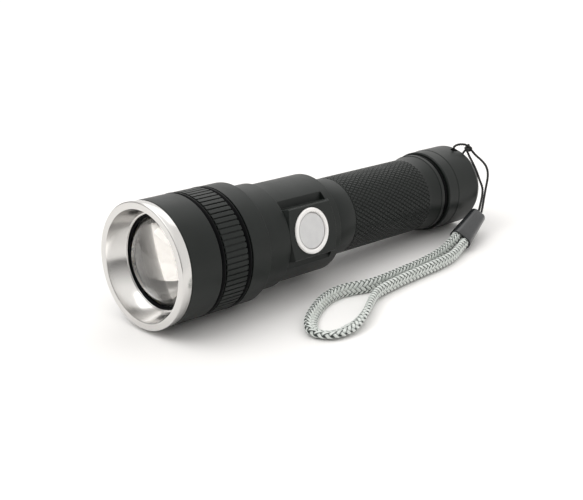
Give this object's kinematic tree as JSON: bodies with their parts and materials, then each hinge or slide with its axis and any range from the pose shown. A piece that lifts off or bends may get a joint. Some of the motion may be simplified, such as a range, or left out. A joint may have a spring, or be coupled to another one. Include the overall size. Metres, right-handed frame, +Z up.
{
  "type": "tactical flashlight",
  "caption": "Zooming hand torch with a bright bezel, convex lens, black ribbed head, side switch on a raised pad, knurled grip, screw tail cap and braided wrist strap on a thin string.",
  "frame": {"origin": "on the floor under the middle of the torch's box without its strap, as it lies on the rear edge of its head and the edge of its tail cap", "axes": "+Z up, +Y along the torch towards the tail, the beam leaves towards -Y, the side switch faces +X and a little upwards"},
  "size_m": [0.0646, 0.1489, 0.0392],
  "materials": {
    "bezel_metal": "turned and lightly brushed, bright",
    "lens_glass": "clear, polished",
    "rubber_black": "smooth, slightly glossy",
    "anodised_black": "black anodised, satin",
    "spring_steel": "plain wire",
    "pill_brass": "machined",
    "board_white": "white board coating",
    "emitter": "yellow emitter under a clear dome",
    "guide_plastic": "plain moulded",
    "board_green": "solder mask",
    "lead_sheath": "soft wire sheath",
    "switch_metal": "satin silver",
    "cell_wrap": "shrink wrap",
    "button_plastic": "translucent pale grey",
    "string_black": "fine woven string",
    "sleeve_plastic": "moulded, glossy",
    "braid_grey": "herringbone braid"
  },
  "bodies": {
    "body": {"switch_body": "anodised_black", "battery_tube": "anodised_black", "stop_ring": "spring_steel", "zoom_seal": "rubber_black", "led_pill": "pill_brass", "led_board": "board_white", "led_emitter": "emitter", "led_guide": "guide_plastic", "driver_board": "board_green", "led_leads": "lead_sheath", "supply_leads": "lead_sheath", "contact_board": "board_green", "contact_spring": "spring_steel", "switch_board": "board_green", "tact_switch": "guide_plastic", "switch_ring": "switch_metal", "tail_seal": "rubber_black", "cell": "cell_wrap"},
    "head": {"head_barrel": "anodised_black", "bezel": "bezel_metal", "lens_gasket": "rubber_black", "lens": "lens_glass", "grip_ring_front": "rubber_black", "grip_ring_rear": "rubber_black"},
    "button": {"button_cap": "button_plastic", "switch_plunger": "guide_plastic"},
    "tail": {"tail_cap": "anodised_black", "tail_contact": "pill_brass", "tail_spring": "spring_steel", "string": "string_black", "string_knot": "string_black", "sleeve": "sleeve_plastic", "strap": "braid_grey"}
  },
  "joints": [
    {"name": "head_zoom", "type": "slide", "parent": "body", "child": "head", "axis": [0, -0.9991, 0.0423], "range_m": [0, 0.009]},
    {"name": "button_press", "type": "slide", "parent": "body", "child": "button", "axis": [-0.974, -0.0096, -0.2264], "range_m": [0, 0.0005], "stiffness_N_per_m": 1500, "springref_m": -0.0003},
    {"name": "tail_cap_off", "type": "slide", "parent": "body", "child": "tail", "axis": [0, 0.9991, -0.0423], "range_m": [0, 0.03]}
  ]
}
